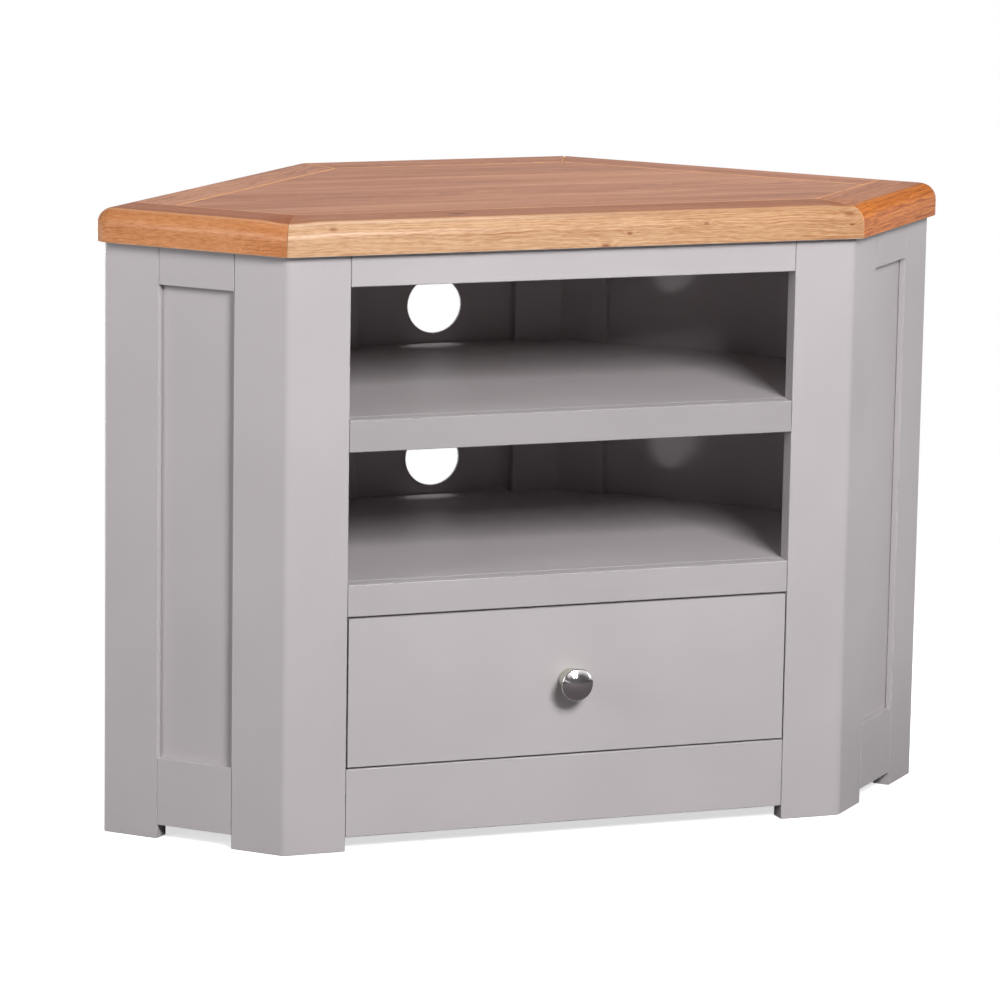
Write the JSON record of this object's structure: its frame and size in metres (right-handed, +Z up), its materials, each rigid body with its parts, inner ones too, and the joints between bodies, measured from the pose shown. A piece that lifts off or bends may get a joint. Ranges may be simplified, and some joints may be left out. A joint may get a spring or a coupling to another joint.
{
  "type": "corner tv cabinet",
  "caption": "Corner cabinet with splayed sides, a framed timber top, open shelf bays with cable holes, and a sliding drawer with a round knob.",
  "frame": {"origin": "on the floor, under the middle of the whole box", "axes": "+Z up, -Y out of the drawer front, +X to the right seen from the front"},
  "size_m": [0.8678, 0.4632, 0.61],
  "materials": {
    "painted_wood": "satin warm light-grey paint on wood",
    "oak": "satin clear lacquer on oak",
    "bare_wood": "bare planed wood and ply",
    "knob_metal": "brushed satin nickel look",
    "screw_metal": "zinc plated"
  },
  "bodies": {
    "cabinet": {"front_left_post": "painted_wood", "front_right_post": "painted_wood", "side_right_post": "painted_wood", "side_left_post": "painted_wood", "back_right_post": "painted_wood", "back_left_post": "painted_wood", "front_bottom_rail": "painted_wood", "lower_shelf_lipping": "painted_wood", "upper_shelf_lipping": "painted_wood", "front_top_rail": "painted_wood", "right_side_bottom_rail": "painted_wood", "right_side_top_rail": "painted_wood", "right_side_panel": "painted_wood", "back_right_bottom_rail": "painted_wood", "back_right_top_rail": "painted_wood", "back_right_panel": "painted_wood", "back_bottom_rail": "painted_wood", "back_top_rail": "painted_wood", "back_panel": "painted_wood", "back_left_bottom_rail": "painted_wood", "back_left_top_rail": "painted_wood", "back_left_panel": "painted_wood", "left_side_bottom_rail": "painted_wood", "left_side_top_rail": "painted_wood", "left_side_panel": "painted_wood", "upper_shelf": "painted_wood", "lower_shelf": "painted_wood", "base_panel": "painted_wood", "top_front_rail": "oak", "top_right_rail": "oak", "top_back_right_rail": "oak", "top_back_rail": "oak", "top_back_left_rail": "oak", "top_left_rail": "oak", "top_panel": "oak", "drawer_left_guide": "bare_wood", "drawer_left_runner": "bare_wood", "drawer_left_kicker": "bare_wood", "drawer_left_stop": "bare_wood", "drawer_right_guide": "bare_wood", "drawer_right_runner": "bare_wood", "drawer_right_kicker": "bare_wood", "drawer_right_stop": "bare_wood", "top_front_batten": "bare_wood", "top_back_batten": "bare_wood", "top_screw_front_left": "screw_metal", "top_screw_front_right": "screw_metal", "top_screw_back_left": "screw_metal", "top_screw_back_right": "screw_metal"},
    "drawer": {"drawer_front": "painted_wood", "drawer_left_side": "bare_wood", "drawer_right_side": "bare_wood", "drawer_back": "bare_wood", "drawer_bottom": "bare_wood", "drawer_knob": "knob_metal", "knob_screw": "screw_metal"}
  },
  "joints": [
    {"name": "drawer_slide", "type": "slide", "parent": "cabinet", "child": "drawer", "axis": [0, -1, 0], "range_m": [0, 0.2]}
  ]
}
